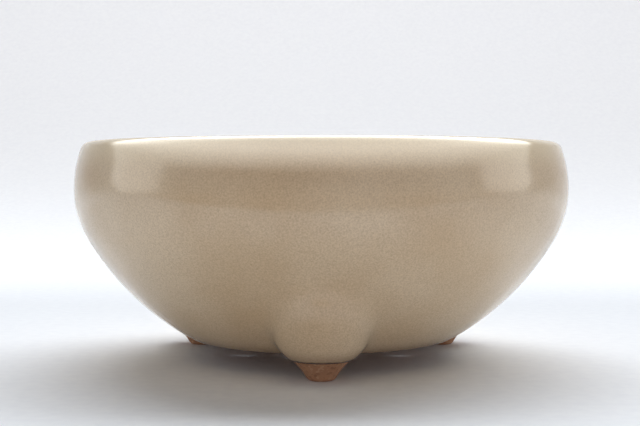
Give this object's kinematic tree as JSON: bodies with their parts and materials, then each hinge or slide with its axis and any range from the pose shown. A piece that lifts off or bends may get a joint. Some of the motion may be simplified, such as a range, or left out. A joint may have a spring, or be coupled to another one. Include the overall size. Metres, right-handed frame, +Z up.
{
  "type": "bonsai pot",
  "caption": "Round glazed stoneware bonsai pot with a rolled-in rim on three bulb feet, with a drain hole, mesh screen and wire clip.",
  "frame": {"origin": "on the pot's axis, on the surface that the three feet stand on", "axes": "+Z up along the pot's axis; the front foot is towards -Y; +X to the right as seen from the front"},
  "size_m": [0.13, 0.13, 0.0568],
  "materials": {
    "stoneware": "bare fired buff stoneware, matte, fine grog",
    "glaze": "glossy warm cream glaze with fine iron specks, brown where it ends",
    "screen_plastic": "moulded dark green polyethylene mesh",
    "clip_wire": "copper-toned annealed aluminium wire, satin"
  },
  "bodies": {
    "root": {"bowl": "stoneware", "foot_front": "stoneware", "foot_rear_right": "stoneware", "foot_rear_left": "stoneware", "glaze_coat": "glaze", "drain_screen": "screen_plastic", "screen_clip": "clip_wire"}
  },
  "joints": []
}
